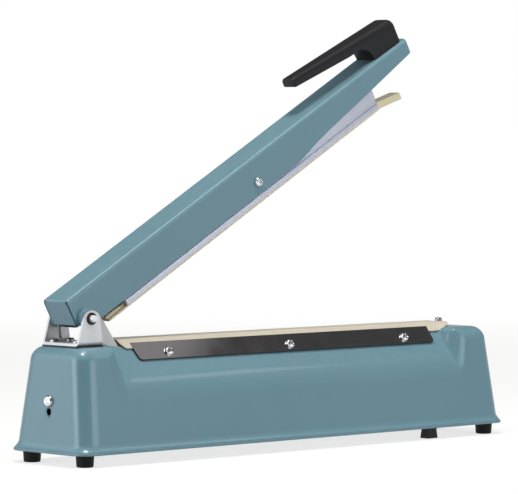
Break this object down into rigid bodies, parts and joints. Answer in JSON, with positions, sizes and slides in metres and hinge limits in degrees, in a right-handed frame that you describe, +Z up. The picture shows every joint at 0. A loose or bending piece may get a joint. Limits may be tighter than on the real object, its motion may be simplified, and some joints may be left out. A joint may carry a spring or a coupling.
{
  "type": "hand impulse sealer",
  "caption": "Bench-top impulse sealer: painted housing with a cloth-covered hot wire on its ridge, and a sprung arm with a pressure bar and handle that closes bags.",
  "frame": {"origin": "middle of the housing's footprint, on the surface that the feet stand on", "axes": "+X along the housing from the hinge to the handle, +Y across it to the timer's side, +Z up"},
  "size_m": [0.412, 0.08, 0.3038],
  "materials": {
    "paint": "gloss enamel with a fine orange-peel texture",
    "sheet_steel": "plain zinc-plated sheet",
    "nickel": "nickel-plated",
    "polished_steel": "polished stainless strip",
    "screw_steel": "bright plated screws",
    "spring_steel": "dark oiled spring wire",
    "black_steel": "black oxide",
    "foot_rubber": "matt black rubber",
    "gasket_rubber": "black sheet rubber",
    "black_plastic": "moulded black plastic",
    "handle_plastic": "satin black moulding",
    "cloth": "non-stick coated glass cloth",
    "silicone": "matt beige silicone",
    "aluminium": "anodised extrusion",
    "seat_board": "phenolic board",
    "hot_wire": "flat resistance wire",
    "brass": "plain brass",
    "core_steel": "varnished laminations",
    "coil_tape": "taped copper winding",
    "board": "printed circuit board",
    "lamp": "clear red lens"
  },
  "bodies": {
    "base": {"body_shell": "paint", "base_plate": "sheet_steel", "foot_front_left": "foot_rubber", "foot_front_right": "foot_rubber", "foot_rear_left": "foot_rubber", "foot_rear_right": "foot_rubber", "foot_screws": "screw_steel", "cord_gland": "black_plastic", "gland_nut": "black_plastic", "hinge_bracket": "nickel", "bracket_gasket": "gasket_rubber", "bracket_screws": "screw_steel", "hinge_pin": "nickel", "pin_clips": "black_steel", "spring_sleeve": "black_plastic", "arm_spring": "spring_steel", "seat_bar": "seat_board", "heating_element": "hot_wire", "terminal_left": "brass", "terminal_right": "brass", "terminal_screws": "screw_steel", "element_cloth": "cloth", "clamp_plate_front": "polished_steel", "clamp_plate_back": "polished_steel", "clamp_screws_front": "screw_steel", "clamp_screws_back": "screw_steel", "end_screw": "screw_steel", "end_nut": "nickel", "transformer_core": "core_steel", "transformer_coil": "coil_tape", "transformer_strap": "sheet_steel", "transformer_screws": "screw_steel", "timer_board": "board", "board_posts": "black_plastic", "potentiometer": "sheet_steel", "potentiometer_nut": "nickel", "indicator_lamp": "lamp", "microswitch": "black_plastic", "switch_screws": "screw_steel"},
    "arm": {"arm_channel": "paint", "pivot_bush_front": "paint", "pivot_bush_back": "paint", "pressure_bar": "aluminium", "silicone_strip": "silicone", "cross_screw": "screw_steel", "cross_nut": "nickel", "bar_spacers": "sheet_steel", "handle": "handle_plastic", "handle_screws": "screw_steel", "switch_striker": "sheet_steel"},
    "knob": {"timer_knob": "black_plastic", "timer_shaft": "sheet_steel"},
    "plunger": {"switch_plunger": "black_plastic", "switch_button": "black_plastic"}
  },
  "joints": [
    {"name": "arm_hinge", "type": "hinge", "parent": "base", "child": "arm", "pos_m": [-0.1799, 0, 0.0985], "axis": [0, 1, 0], "range_deg": [0, 29], "stiffness_Nm_per_rad": 2, "springref_deg": -40.11, "deforming": ["arm_spring"]},
    {"name": "timer_turn", "type": "hinge", "parent": "base", "child": "knob", "pos_m": [0.176, 0.03134, 0.0582], "axis": [0, 0.9907, 0.1357], "range_deg": [-135, 135]},
    {"name": "switch_press", "type": "slide", "parent": "base", "child": "plunger", "axis": [0, 0, -1], "range_m": [0, 0.002], "stiffness_N_per_m": 400, "springref_m": -0.002}
  ]
}
